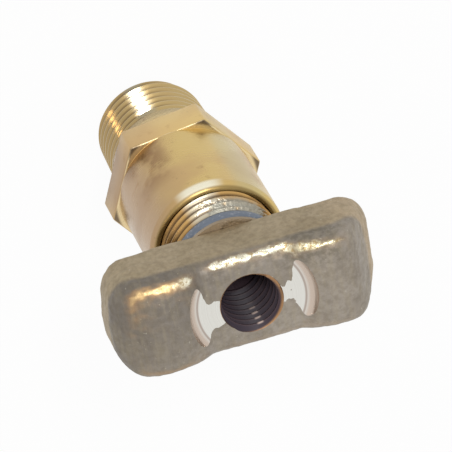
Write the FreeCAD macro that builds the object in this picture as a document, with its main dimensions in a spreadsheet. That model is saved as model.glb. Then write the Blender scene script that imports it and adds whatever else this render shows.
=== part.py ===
"""Hand drain plug of brass: a hexagon body with a taper pipe thread and a cast T-handle plug.

Millimetres. The body stands on the small end of its pipe thread, at z = 0, and the handle points up along +Z,
with its long way along X. The plug is drawn part open, screwed out by a few turns.
"""
import FreeCAD, Part
import os
import Sketcher

# Driving sizes: name, value, what it is
SIZES = [
    ("pipe_end_radius", 6.63, "crest radius of the pipe thread at its small end"),
    ("pipe_taper", 0.03125, "growth of the radius for each millimetre along the pipe thread"),
    ("pipe_length", 13.74, "from the small end to the hexagon"),
    ("pipe_chamfer", 0.7, "lead chamfer at the small end"),
    ("hex_flats", 16.4, "width of the hexagon across its flats"),
    ("hex_thickness", 4.69, "thickness of the hexagon"),
    ("hex_turn", 6.5, "degrees between +X and the nearest corner of the hexagon"),
    ("collar_radius", 8.15, "round collar in front of the hexagon"),
    ("collar_length", 15.47, "from the hexagon to the collar's mouth"),
    ("collar_chamfer", 0.7, "broken edge of the collar's lip"),
    ("inlet_radius", 3.2, "drain bore inside the pipe thread"),
    ("inlet_depth", 12.2, "from the small end to the foot of the seat"),
    ("chamber_radius", 6.2, "chamber around the plug's nose"),
    ("chamber_top", 19.0, "height at which the body's inner thread starts"),
    ("thread_pitch", 1.4111, "travel of the plug for each turn"),
    ("turns_open", 4.0, "turns by which the plug is drawn open"),
    ("seat_clearance", 0.05, "left between the nose and the seat when the plug is closed"),
    ("stem_radius", 7.144, "crest radius of the plug's thread"),
    ("stem_clearance", 0.06, "radial running clearance of the plug's thread"),
    ("stem_length", 13.46, "threaded length of the plug"),
    ("nose_tip_radius", 2.4, "flat tip of the sealing cone"),
    ("nose_radius", 5.2, "nose between the sealing cone and the thread"),
    ("nose_length", 7.95, "from the flat tip to the thread"),
    ("drain_hole_radius", 1.5, "cross hole through the nose"),
    ("drain_hole_height", 4.85, "from the flat tip to the cross hole's axis"),
    ("drain_bore_radius", 2.25, "bore that joins the cross hole and the port"),
    ("drain_bore_floor", 3.0, "from the flat tip to the floor of that bore"),
    ("neck_radius", 5.4, "bottom of the groove that holds the sealing ring"),
    ("ring_thickness", 1.6, "square-cut sealing ring, from its bore to its outside"),
    ("ring_width", 1.6, "sealing ring along the axis"),
    ("ring_clearance", 0.03, "left around the sealing ring in its groove"),
    ("boss_radius", 6.9, "round boss under the handle"),
    ("boss_height", 0.4, "height of that boss"),
    ("handle_length", 32.4, "handle, end to end"),
    ("handle_width", 12.0, "handle across its flat sides"),
    ("handle_depth", 9.95, "from the handle's back to the tops of its lobes"),
    ("waist_drop", 1.82, "from the tops of the lobes down to the waist between them"),
    ("crown_radius", 20.0, "crown of the handle's front across its width, at the waist"),
    ("lobe_inset", 6.2, "from the handle's end to the top of each lobe"),
    ("lobe_arc_run", 5.6, "from the top of a lobe to where its arc ends, along the handle"),
    ("lobe_arc_drop", 2.8, "height that the arc loses over that run"),
    ("handle_corner", 4.0, "rounding of the handle's four corners, seen from the front"),
    ("front_chamfer", 1.2, "broken edge around the handle's front"),
    ("back_chamfer", 0.9, "broken edge around the handle's back"),
    ("spotface_radius", 7.6, "cutter that faces the port"),
    ("spotface_corner", 1.2, "sloped corner that the cutter leaves"),
    ("spotface_cut", 0.03, "depth of the facing cut below the top of the waist"),
    ("port_radius", 3.32, "tapping bore of the port in the handle's front"),
    ("port_chamfer", 0.4, "chamfer at the port's mouth"),
    ("port_depth", 10.0, "depth of the tapping bore"),
]

# Heights and radii that follow from the driving sizes
MOUTH = "(Size.pipe_length + Size.hex_thickness + Size.collar_length)"
SEAT_TOP = "(Size.inlet_depth + Size.chamber_radius - Size.inlet_radius)"
BORE_RADIUS = "(Size.stem_radius + Size.stem_clearance)"
TRAVEL = "(Size.thread_pitch * Size.turns_open)"
TIP = f"(Size.inlet_depth + Size.nose_tip_radius - Size.inlet_radius + Size.seat_clearance + {TRAVEL})"
THREAD_FOOT = f"({TIP} + Size.nose_length)"
THREAD_TOP = f"({THREAD_FOOT} + Size.stem_length)"
GROOVE_WIDTH = "(Size.ring_width + 2 * Size.ring_clearance)"
BOSS_FOOT = f"({THREAD_TOP} + {GROOVE_WIDTH})"
HANDLE_BACK = f"({BOSS_FOOT} + Size.boss_height)"
LOBE_FRONT = f"({HANDLE_BACK} + Size.handle_depth)"
WAIST_FRONT = f"({LOBE_FRONT} - Size.waist_drop)"
SPOTFACE = f"({WAIST_FRONT} - Size.spotface_cut)"

# Cutting tools reach this far past the surface that they cut
OVERRUN = "0.5"

# Two places closer than this are the same place
CLOSE = 0.01


def make_sheet(doc):
    """Write the driving sizes into the document's sheet."""
    sheet = doc.addObject("Spreadsheet::Sheet", "Size")
    for row, (name, value, note) in enumerate(SIZES, start=1):
        sheet.set(f"A{row}", name)
        sheet.set(f"B{row}", str(value))
        sheet.set(f"C{row}", note)
        sheet.setAlias(f"B{row}", name)
    doc.recompute()
    return sheet


def add_body(doc, name):
    """Start a sub-part under its own name."""
    body = doc.addObject("PartDesign::Body", name)
    body.Label = name
    return body


def add_sketch(body, name, plane_role, offset=None):
    """Put an empty sketch on one of the body's own planes, moved along its normal by a formula."""
    sketch = body.newObject("Sketcher::SketchObject", name)
    plane = next(item for item in body.Origin.OriginFeatures if item.Role == plane_role)
    sketch.AttachmentSupport = [(plane, "")]
    sketch.MapMode = "FlatFace"
    if offset:
        sketch.setExpression("AttachmentOffset.Base.z", offset)
    body.Document.recompute()
    return sketch


def value_of(item, formula):
    """Work out a formula on the driving sizes."""
    return float(item.evalExpression(formula))


def bind(sketch, kind, formula, *where):
    """Add one dimension to a sketch and tie it to a formula."""
    index = sketch.addConstraint(Sketcher.Constraint(kind, *where, value_of(sketch, formula)))
    sketch.setExpression(f"Constraints[{index}]", formula)


def bind_point(sketch, edge, point, across, up):
    """Tie a point of an edge to two formulas, measured from the sketch's origin."""
    for kind, formula, axis in (("DistanceX", across, -2), ("DistanceY", up, -1)):
        if formula == "0":
            sketch.addConstraint(Sketcher.Constraint("PointOnObject", edge, point, axis))
        else:
            bind(sketch, kind, formula, -1, 1, edge, point)


def arc_between(start, end, radius, side):
    """Make the short arc from start to end, its centre on the left (side 1) or on the right (side -1)."""
    chord = end - start
    reach = (radius**2 - (chord.Length / 2) ** 2) ** 0.5
    left = FreeCAD.Vector(-chord.y, chord.x, 0).normalize()
    centre = (start + end) / 2 + left * (reach * side)
    middle = centre - left * (radius * side)
    return Part.ArcOfCircle(start, middle, end)


def draw_outline(sketch, corners):
    """Draw a closed outline through corners given as (across, up) formulas.

    A corner with a radius formula and a side after them starts an arc, which ends at the next corner.
    """
    places = []
    for corner in corners:
        places.append(FreeCAD.Vector(value_of(sketch, corner[0]), value_of(sketch, corner[1]), 0))
    ends = []
    for number, corner in enumerate(corners):
        start = places[number]
        end = places[(number + 1) % len(places)]
        if len(corner) == 2:
            sketch.addGeometry(Part.LineSegment(start, end), False)
            ends.append((1, 2))
            continue
        radius, side = corner[2:]
        sketch.addGeometry(arc_between(start, end, value_of(sketch, radius), side), False)
        # an arc is stored counter-clockwise, so a clockwise one starts at its second point
        ends.append((1, 2) if side > 0 else (2, 1))
    for number, corner in enumerate(corners):
        following = (number + 1) % len(corners)
        joined = (number, ends[number][1], following, ends[following][0])
        sketch.addConstraint(Sketcher.Constraint("Coincident", *joined))
        bind_point(sketch, number, ends[number][0], corner[0], corner[1])
        if len(corner) > 2:
            bind(sketch, "Radius", corner[2], number)


def revolve(body, kind, name, corners):
    """Turn an outline of (radius, height) corners about the Z axis, adding or cutting."""
    sketch = add_sketch(body, name + "_outline", "XZ_Plane")
    draw_outline(sketch, corners)
    feature = body.newObject(kind, name)
    feature.Profile = sketch
    feature.ReferenceAxis = (sketch, ["V_Axis"])
    feature.Angle = 360
    body.Document.recompute()
    return feature


def dress_edges(body, kind, name, size_name, size, chosen):
    """Dress those edges of the body's newest form that the given test picks."""
    base = body.Tip
    names = []
    for number, edge in enumerate(base.Shape.Edges, start=1):
        if chosen(edge):
            names.append(f"Edge{number}")
    feature = body.newObject(kind, name)
    feature.Base = (base, names)
    feature.setExpression(size_name, size)
    body.Document.recompute()


def round_edges(body, name, size, chosen):
    """Give the chosen edges a rounding."""
    dress_edges(body, "PartDesign::Fillet", name, "Radius", size, chosen)


def break_edges(body, name, size, chosen):
    """Give the chosen edges a chamfer."""
    dress_edges(body, "PartDesign::Chamfer", name, "Size", size, chosen)


def middle_of(edge):
    """Give the point halfway along an edge."""
    return edge.valueAt((edge.FirstParameter + edge.LastParameter) / 2)


def make_hex_body(doc):
    """Turned body: taper pipe, hexagon, round collar, and the seat and chamber inside."""
    body = add_body(doc, "hex_body")
    revolve(body, "PartDesign::Revolution", "pipe_and_collar", [
        ("0", "0"),
        ("Size.pipe_end_radius - Size.pipe_chamfer", "0"),
        ("Size.pipe_end_radius + Size.pipe_chamfer * Size.pipe_taper", "Size.pipe_chamfer"),
        ("Size.pipe_end_radius + Size.pipe_length * Size.pipe_taper", "Size.pipe_length"),
        ("Size.collar_radius", "Size.pipe_length"),
        ("Size.collar_radius", MOUTH),
        ("0", MOUTH),
    ])
    mouth = value_of(body, MOUTH)
    break_edges(body, "collar_lip", "Size.collar_chamfer",
                lambda edge: abs(middle_of(edge).z - mouth) < CLOSE)

    hexagon = add_sketch(body, "hexagon_outline", "XY_Plane", "Size.pipe_length")
    corners = []
    for number in range(6):
        turn = f"(Size.hex_turn + {60 * number})"
        reach = "Size.hex_flats / sqrt(3)"
        corners.append((f"{reach} * cos({turn})", f"{reach} * sin({turn})"))
    draw_outline(hexagon, corners)
    pad = body.newObject("PartDesign::Pad", "hexagon")
    pad.Profile = hexagon
    pad.setExpression("Length", "Size.hex_thickness")
    doc.recompute()

    revolve(body, "PartDesign::Groove", "seat_and_chamber", [
        ("0", f"-{OVERRUN}"),
        ("Size.inlet_radius", f"-{OVERRUN}"),
        ("Size.inlet_radius", "Size.inlet_depth"),
        ("Size.chamber_radius", SEAT_TOP),
        ("Size.chamber_radius", "Size.chamber_top"),
        (BORE_RADIUS, "Size.chamber_top"),
        (BORE_RADIUS, f"{MOUTH} + {OVERRUN}"),
        ("0", f"{MOUTH} + {OVERRUN}"),
    ])
    return body


def cast_handle(body):
    """Cast T-handle: a bar with rounded corners whose crowned front is lower between its two lobes."""
    doc = body.Document
    plan = add_sketch(body, "handle_plan", "XY_Plane", HANDLE_BACK)
    half_length = "Size.handle_length / 2"
    half_width = "Size.handle_width / 2"
    draw_outline(plan, [
        (f"-{half_length}", f"-{half_width}"),
        (half_length, f"-{half_width}"),
        (half_length, half_width),
        (f"-{half_length}", half_width),
    ])
    bar = body.newObject("PartDesign::Pad", "handle_bar")
    bar.Profile = plan
    bar.setExpression("Length", f"Size.handle_depth + {OVERRUN}")
    doc.recompute()
    round_edges(body, "handle_corners", "Size.handle_corner",
                lambda edge: abs(edge.tangentAt(edge.FirstParameter).z) > 1 - CLOSE)

    front = add_sketch(body, "front_outline", "XZ_Plane")
    lobe_radius = "((Size.lobe_arc_run^2 + Size.lobe_arc_drop^2) / (2 * Size.lobe_arc_drop))"
    lobe_top = f"({half_length} - Size.lobe_inset)"
    lobe_foot = f"({lobe_top} - sqrt(2 * {lobe_radius} * Size.waist_drop - Size.waist_drop^2))"
    arc_end = f"({lobe_top} + Size.lobe_arc_run)"
    arc_height = f"({LOBE_FRONT} - Size.lobe_arc_drop)"
    slope = f"(Size.lobe_arc_run / ({lobe_radius} - Size.lobe_arc_drop))"
    outer = f"({half_length} + {OVERRUN})"
    outer_height = f"({arc_height} - ({outer} - {arc_end}) * {slope})"
    above = f"({LOBE_FRONT} + {half_width})"
    draw_outline(front, [
        (f"-{lobe_foot}", WAIST_FRONT),
        (lobe_foot, WAIST_FRONT, lobe_radius, -1),
        (arc_end, arc_height),
        (outer, outer_height),
        (outer, above),
        (f"-{outer}", above),
        (f"-{outer}", outer_height),
        (f"-{arc_end}", arc_height, lobe_radius, -1),
    ])
    # the crown comes from turning the outline about a line that lies deep under the waist
    depth = f"({WAIST_FRONT} - Size.crown_radius)"
    line = Part.LineSegment(FreeCAD.Vector(-1, 0, 0), FreeCAD.Vector(1, 0, 0))
    axis = front.addGeometry(line, True)
    bind_point(front, axis, 1, f"-{half_length}", depth)
    bind_point(front, axis, 2, half_length, depth)
    cut = body.newObject("PartDesign::Groove", "crowned_lobes_and_waist")
    cut.Profile = front
    cut.ReferenceAxis = (front, ["Axis0"])
    cut.Midplane = True
    cut.setExpression("Angle", f"4 * asin({half_width} / Size.crown_radius)")
    doc.recompute()


def make_tee_plug(doc):
    """Plug cast in one piece with its T-handle, then turned, faced, bored and threaded."""
    body = add_body(doc, "tee_plug")
    cast_handle(body)
    back = value_of(body, HANDLE_BACK)
    half_length = value_of(body, "Size.handle_length / 2")
    half_width = value_of(body, "Size.handle_width / 2")
    corner = value_of(body, "Size.handle_corner")

    def on_outline(spot):
        beyond = FreeCAD.Vector(abs(spot.x) - half_length + corner, abs(spot.y) - half_width + corner, 0)
        if beyond.x > 0 and beyond.y > 0:
            return abs(beyond.Length - corner) < CLOSE
        return abs(beyond.x - corner) < CLOSE or abs(beyond.y - corner) < CLOSE

    def is_front_rim(edge):
        spots = [edge.valueAt(edge.FirstParameter), edge.valueAt(edge.LastParameter), middle_of(edge)]
        upright = abs(edge.tangentAt(edge.FirstParameter).z) > 1 - CLOSE
        return not upright and all(on_outline(spot) and spot.z > back + CLOSE for spot in spots)

    break_edges(body, "front_rim", "Size.front_chamfer", is_front_rim)
    break_edges(body, "back_rim", "Size.back_chamfer", lambda edge: abs(middle_of(edge).z - back) < CLOSE)

    revolve(body, "PartDesign::Revolution", "stem", [
        ("0", TIP),
        ("Size.nose_tip_radius", TIP),
        ("Size.nose_radius", f"{TIP} + Size.nose_radius - Size.nose_tip_radius"),
        ("Size.nose_radius", THREAD_FOOT),
        ("Size.stem_radius", THREAD_FOOT),
        ("Size.stem_radius", THREAD_TOP),
        ("Size.neck_radius", THREAD_TOP),
        ("Size.neck_radius", BOSS_FOOT),
        ("Size.boss_radius", BOSS_FOOT),
        ("Size.boss_radius", HANDLE_BACK),
        ("0", HANDLE_BACK),
    ])

    port_floor = f"({SPOTFACE} - Size.port_depth)"
    above = f"{LOBE_FRONT} + {OVERRUN}"
    revolve(body, "PartDesign::Groove", "spotface_and_port", [
        ("0", f"{TIP} + Size.drain_bore_floor"),
        ("Size.drain_bore_radius", f"{TIP} + Size.drain_bore_floor"),
        ("Size.drain_bore_radius", f"{port_floor} - Size.port_radius + Size.drain_bore_radius"),
        ("Size.port_radius", port_floor),
        ("Size.port_radius", f"{SPOTFACE} - Size.port_chamfer"),
        ("Size.port_radius + Size.port_chamfer", SPOTFACE),
        ("Size.spotface_radius - Size.spotface_corner", SPOTFACE),
        ("Size.spotface_radius", f"{SPOTFACE} + Size.spotface_corner"),
        ("Size.spotface_radius", above),
        ("0", above),
    ])

    cross = add_sketch(body, "cross_hole_outline", "XZ_Plane")
    height = f"{TIP} + Size.drain_hole_height"
    centre = FreeCAD.Vector(0, value_of(cross, height), 0)
    circle = Part.Circle(centre, FreeCAD.Vector(0, 0, 1), value_of(cross, "Size.drain_hole_radius"))
    cross.addGeometry(circle, False)
    bind_point(cross, 0, 3, "0", height)
    bind(cross, "Radius", "Size.drain_hole_radius", 0)
    pocket = body.newObject("PartDesign::Pocket", "cross_hole")
    pocket.Profile = cross
    pocket.Midplane = True
    pocket.setExpression("Length", f"2 * Size.nose_radius + {OVERRUN}")
    doc.recompute()
    return body


def make_seal_ring(doc):
    """Square-cut sealing ring in the groove between the thread and the boss."""
    body = add_body(doc, "seal_ring")
    inside = "(Size.neck_radius + Size.ring_clearance)"
    outside = f"({inside} + Size.ring_thickness)"
    foot = f"({THREAD_TOP} + Size.ring_clearance)"
    top = f"({foot} + Size.ring_width)"
    revolve(body, "PartDesign::Revolution", "square_cut_ring", [
        (inside, foot),
        (outside, foot),
        (outside, top),
        (inside, top),
    ])
    return body


def check_and_write(doc, parts):
    """Stop if anything failed, then write each sub-part to its own file."""
    doc.recompute()
    for item in doc.Objects:
        if "Invalid" in item.State or "Error" in item.State:
            raise RuntimeError(f"{item.Name} failed: {item.State}")
    os.makedirs("parts", exist_ok=True)
    for part in parts:
        if part.Shape.isNull() or not part.Shape.isValid():
            raise RuntimeError(f"{part.Label} has no valid shape")
        part.Shape.exportStep(f"parts/{part.Label}.step")
        print(part.Label, "solids", len(part.Shape.Solids), "volume", round(part.Shape.Volume, 1))


def main():
    doc = FreeCAD.newDocument("drain_plug")
    make_sheet(doc)
    parts = [make_hex_body(doc), make_tee_plug(doc), make_seal_ring(doc)]
    check_and_write(doc, parts)


main()
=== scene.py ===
import math

import bpy
from mathutils import Color, Matrix, Vector, noise


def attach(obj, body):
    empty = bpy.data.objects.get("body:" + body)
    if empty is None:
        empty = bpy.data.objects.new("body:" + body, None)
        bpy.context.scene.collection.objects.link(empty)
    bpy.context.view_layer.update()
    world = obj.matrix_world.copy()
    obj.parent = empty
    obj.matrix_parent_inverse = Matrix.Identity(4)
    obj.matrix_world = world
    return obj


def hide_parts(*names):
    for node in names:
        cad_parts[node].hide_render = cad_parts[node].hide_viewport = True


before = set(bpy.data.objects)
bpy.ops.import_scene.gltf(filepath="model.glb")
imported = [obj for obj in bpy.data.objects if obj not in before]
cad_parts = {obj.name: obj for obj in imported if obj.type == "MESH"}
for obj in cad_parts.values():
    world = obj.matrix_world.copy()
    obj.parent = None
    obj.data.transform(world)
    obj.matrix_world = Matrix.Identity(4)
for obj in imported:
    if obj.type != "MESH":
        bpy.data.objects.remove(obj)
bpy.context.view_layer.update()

# Pieces are made in millimetres and turned into metres when they are finished
MM = 0.001

# Meshes
COLUMNS = 128
SPARE_TURNS = 2
MERGE_DISTANCE = 0.001
CLEAN_DISTANCE = 0.002
SMOOTH_ANGLE = 35
TOUCH = 0.01
BEYOND = 1

# Camera, fitted to the outline in the photograph
PHOTO_PIXELS = 452
CAMERA_FOCAL_PIXELS = 5278
CAMERA_PLACE = (-85.175, 293.5, 566.71)
CAMERA_RIGHT = (0.95151898, -0.17744373, 0.2512476)
CAMERA_UP = (0.27342385, 0.8620967, -0.42664818)
CAMERA_SENSOR = 36
CAMERA_NEAR = 0.01
CAMERA_FAR = 10

# Floor and room
FLOOR_SIZE = 4
FLOOR_DROP = 0.05
FLOOR_WHITE = 0.85
FLOOR_ROUGHNESS = 0.9
FLOOR_BACKDROP = 0.95
ROOM_GREY = 0.62
WARM = (1, 0.76, 0.5)

# Hexagon body
PIPE_END_RADIUS = 6.63
PIPE_TAPER = 1 / 32
PIPE_LENGTH = 13.74
PIPE_CHAMFER = 0.7
PIPE_END_STEP = 0.1
PIPE_THREAD_TOP = 9.8
PIPE_THREAD_DEPTH = 0.95
THREAD_PITCH = 1.4111
HEX_SIDES = 6
HEX_FLATS = 16.4
HEX_THICKNESS = 4.69
HEX_TOP = PIPE_LENGTH + HEX_THICKNESS
HEX_TURN = 6.5
HEX_EDGE = 0.26
HEX_EDGE_STEPS = 3
COLLAR_RADIUS = 8.15
COLLAR_TOP = 33.9
COLLAR_ROUNDING = 1.1
COLLAR_STEPS = 10
INLET_RADIUS = 3.2
INLET_DEPTH = 12.2
INLET_CHAMFER = 0.4
CHAMBER_RADIUS = 6.2
CHAMBER_TOP = 19.0
BORE_RADIUS = 7.204

# Stem of the hand plug
TIP = 17.094
TIP_RADIUS = 2.4
NOSE_RADIUS = 5.2
THREAD_FOOT = 25.044
THREAD_FOOT_FADE = 0.6
THREAD_TOP = 38.504
THREAD_TOP_STEP = 0.3
STEM_RADIUS = 7.13
STEM_THREAD_DEPTH = 0.72
NECK_RADIUS = 5.4
BOSS_FOOT = 40.164
BOSS_RADIUS = 6.9
BOSS_CHAMFER = 0.15
BOSS_OVERLAP = 0.3
PATCH_DIRECTION = (0.375, 0.927)

# Handle of the hand plug
HANDLE_BACK = 40.564
HANDLE_LENGTH = 32.3
HANDLE_WIDTH = 12.2
HANDLE_CORNER = 3.6
HANDLE_CORNER_STEPS = 10
FRONT_ROUNDING = 1.5
FRONT_ROUNDING_STEPS = 6
BACK_ROUNDING = 0.6
BACK_ROUNDING_STEPS = 4
LOBE_FRONT = 50.45
WAIST_FRONT = 48.69
LOBE_TOP_ACROSS = 10.0
LOBE_RADIUS = 7.0
LOBE_ARC_RUN = 5.6
LOBE_TWIST = 0.0025
LOBE_TWIST_START = 6
LOBE_TWIST_RUN = 4
CREASE_BLEND = 0.35
CROWN_RADIUS = 20.0
RIGHT_END_TAPER = 2.2
LEFT_END_SLANT = 0.7
END_START = 9.0

# Skin of the casting: how many bumps to a millimetre, and how high they are
CAST_GRID = 0.22
CAST_SMOOTHING = 0.5
CAST_SMOOTHINGS = 3
SLOW_BUMPS, SLOW_HEIGHT = 0.3, 0.16
SLOW_SHARE_IN_WAIST = 0.3
GRAIN_BUMPS, GRAIN_HEIGHT = 1.3, 0.05
FINE_BUMPS, FINE_HEIGHT = 2.9, 0.02
RIM_GRAIN = 0.4
SKIN_DROP = 0.04

# Rim of the handle's front, partly rubbed bare and partly a painted highlight, golden at its left end and
# silver beyond a gap
RIM_FOOT = HANDLE_BACK + 4
RIM_INSIDE = 3.9
RIM_TILT = 37
RIM_SPREAD = 28
RIM_NARROWEST = 0.3
RIM_LONG_SIDE = 0.4
RIM_LOWER_SIDE = 0.45
RIM_END_LEFT = 17.0
RIM_END_RIGHT = 13.2
RIM_END_RUN = 3
RIM_GAP = -5.1
RIM_GAP_RUN = 1.5
GOLDEN_RIM = -9.5
SILVER_RIM = -6.5

# Spotface, port and drain passage of the hand plug
SPOTFACE_RADIUS = 7.6
SPOTFACE_CORNER = 1.2
SPOTFACE_STEPS = 6
SPOTFACE_CUT = 0.07
PORT_RADIUS = 3.32
PORT_THREAD_RADIUS = 4.0
PORT_MOUTH_RADIUS = 3.78
PORT_PITCH = 1.25
PORT_DEPTH = 10.0
PORT_FLOOR_FADE = 0.7
PORT_MOUTH_FADE = 0.4
DRAIN_RADIUS = 2.25
DRAIN_CONE = 1
DRAIN_FLOOR = 20.1
CROSS_HOLE_RADIUS = 1.5
CROSS_HOLE_HEIGHT = 21.94
CROSS_HOLE_LENGTH = 4 * NOSE_RADIUS
CROSS_HOLE_COLUMNS = 48

# Sealing ring
RING_FOOT = 38.53
RING_TOP = 40.13
RING_INSIDE = 5.43
RING_OUTSIDE = 7.03
RING_STEPS = 24
RING_SQUARENESS = 0.6


def select_only(piece):
    """Leave one object selected and active, in object mode."""
    if bpy.context.object and bpy.context.object.mode != "OBJECT":
        bpy.ops.object.mode_set(mode="OBJECT")
    bpy.ops.object.select_all(action="DESELECT")
    piece.hide_set(False)
    piece.select_set(True)
    bpy.context.view_layer.objects.active = piece


def apply_place():
    """Bake the selected object's place, turn and size into its mesh."""
    bpy.ops.object.transform_apply(location=True, rotation=True, scale=True)


def start_piece(name):
    """Name the primitive that was just added and go into edit mode with all of it selected."""
    piece = bpy.context.object
    piece.name = name
    bpy.ops.object.mode_set(mode="EDIT")
    bpy.ops.mesh.select_mode(type="VERT")
    bpy.ops.mesh.select_all(action="SELECT")
    return piece


def apply_modifier(piece, kind, **settings):
    """Add one modifier with its settings and apply it."""
    select_only(piece)
    modifier = piece.modifiers.new(kind.lower(), kind)
    for name, value in settings.items():
        setattr(modifier, name, value)
    bpy.ops.object.modifier_apply(modifier=modifier.name)


def clean_up(piece):
    """Merge doubled points and turn every face outwards."""
    select_only(piece)
    bpy.ops.object.mode_set(mode="EDIT")
    bpy.ops.mesh.select_all(action="SELECT")
    bpy.ops.mesh.remove_doubles(threshold=CLEAN_DISTANCE)
    bpy.ops.mesh.normals_make_consistent(inside=False)
    bpy.ops.object.mode_set(mode="OBJECT")


def join(pieces):
    """Join open skins whose edges meet into the first of them."""
    first = pieces[0]
    select_only(first)
    for piece in pieces[1:]:
        piece.select_set(True)
    bpy.ops.object.join()
    clean_up(first)
    return first


def combine(piece, other, operation):
    """Unite with or cut by another closed piece, which is used up."""
    apply_modifier(piece, "BOOLEAN", operation=operation, solver="EXACT", material_mode="TRANSFER",
                   object=other)
    bpy.data.objects.remove(other)


def turn(name, stations, closed_start=False, closed_end=False):
    """Turn a skin round the Z axis, ring by ring through (radius, height) stations."""
    radius, height = stations[0]
    bpy.ops.object.select_all(action="DESELECT")
    bpy.ops.mesh.primitive_circle_add(vertices=COLUMNS, radius=radius, location=(0, 0, height))
    apply_place()
    piece = start_piece(name)
    for next_radius, next_height in stations[1:]:
        rise = {"value": (0, 0, next_height - height)}
        bpy.ops.mesh.extrude_region_move(TRANSFORM_OT_translate=rise)
        ratio = next_radius / radius
        bpy.ops.transform.resize(value=(ratio, ratio, 1), center_override=(0, 0, next_height))
        radius, height = next_radius, next_height
    if closed_end:
        bpy.ops.mesh.edge_face_add()
    if closed_start:
        bpy.ops.mesh.select_all(action="DESELECT")
        bpy.ops.object.mode_set(mode="OBJECT")
        for vertex in piece.data.vertices[:COLUMNS]:
            vertex.select = True
        bpy.ops.object.mode_set(mode="EDIT")
        bpy.ops.mesh.edge_face_add()
    bpy.ops.object.mode_set(mode="OBJECT")
    return piece


def thread(name, pitch, crests, depth, start, end):
    """Wind a right-hand thread and trim it to two plain rings.

    crests is the crest radius at the start and at the end. start and end are each the height, the ring's
    radius, and the run-out over which the thread fades into the plain ring.
    """
    low, high = start[0], end[0]
    turns = math.ceil((high - low) / pitch) + SPARE_TURNS
    bpy.ops.object.select_all(action="DESELECT")
    bpy.ops.mesh.primitive_plane_add(size=1, location=(crests[0], 0, low - pitch))
    apply_place()
    piece = start_piece(name)
    bpy.ops.mesh.merge(type="CENTER")
    # one pitch of profile, in shares of the pitch and the depth: crest, flank, root, flank, crest
    profile = ((1 / 16, 0), (1 / 4, 0.5), (7 / 16, 1), (1 / 2, 1),
               (9 / 16, 1), (3 / 4, 0.5), (15 / 16, 0), (1, 0))
    along, into = 0, 0
    for next_along, next_into in profile:
        step = (-(next_into - into) * depth, 0, (next_along - along) * pitch)
        bpy.ops.mesh.extrude_vertices_move(TRANSFORM_OT_translate={"value": step})
        along, into = next_along, next_into
    bpy.ops.object.mode_set(mode="OBJECT")
    apply_modifier(piece, "SCREW", axis="Z", angle=math.tau, screw_offset=pitch, iterations=turns,
                   steps=COLUMNS, render_steps=COLUMNS,
                   use_merge_vertices=True, merge_threshold=MERGE_DISTANCE)
    for vertex in piece.data.vertices:
        spot = vertex.co
        height = min(max(spot.z, low), high)
        angle = math.atan2(spot.y, spot.x)
        groove = crests[0] - math.hypot(spot.x, spot.y)
        share = (height - low) / (high - low)
        radius = crests[0] + (crests[1] - crests[0]) * share - groove
        for distance, (_, ring_radius, run_out) in ((height - low, start), (high - height, end)):
            fade = min(distance / run_out, 1)
            radius = ring_radius + (radius - ring_radius) * fade
        vertex.co = (radius * math.cos(angle), radius * math.sin(angle), height)
    clean_up(piece)
    return piece


def arc(centre_radius, centre_height, radius, first, last, steps):
    """Stations on an arc, from one angle to another, in degrees up from the outward direction."""
    stations = []
    for step in range(steps + 1):
        angle = math.radians(first + (last - first) * step / steps)
        stations.append((centre_radius + radius * math.cos(angle), centre_height + radius * math.sin(angle)))
    return stations


def finish_piece(piece, body, node):
    """Bring a finished piece to metres, smooth its shading and put it in place of its solid."""
    select_only(piece)
    piece.scale = (MM, MM, MM)
    apply_place()
    bpy.ops.object.shade_smooth_by_angle(angle=math.radians(SMOOTH_ANGLE))
    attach(piece, body)
    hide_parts(node)


class Channel:
    """One output of a finish's nodes. Sums, products and the like of it add Math nodes."""

    def __init__(self, finish, output):
        self.finish = finish
        self.output = output

    def maths(self, operation, first, second):
        """Add one Math node."""
        return self.finish.node("ShaderNodeMath", {"operation": operation}, {0: first, 1: second})

    def __add__(self, other):
        return self.maths("ADD", self, other)

    def __radd__(self, other):
        return self.maths("ADD", other, self)

    def __sub__(self, other):
        return self.maths("SUBTRACT", self, other)

    def __rsub__(self, other):
        return self.maths("SUBTRACT", other, self)

    def __mul__(self, other):
        return self.maths("MULTIPLY", self, other)

    def __rmul__(self, other):
        return self.maths("MULTIPLY", other, self)

    def __truediv__(self, other):
        return self.maths("DIVIDE", self, other)

    def __pow__(self, other):
        return self.maths("POWER", self, other)


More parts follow.
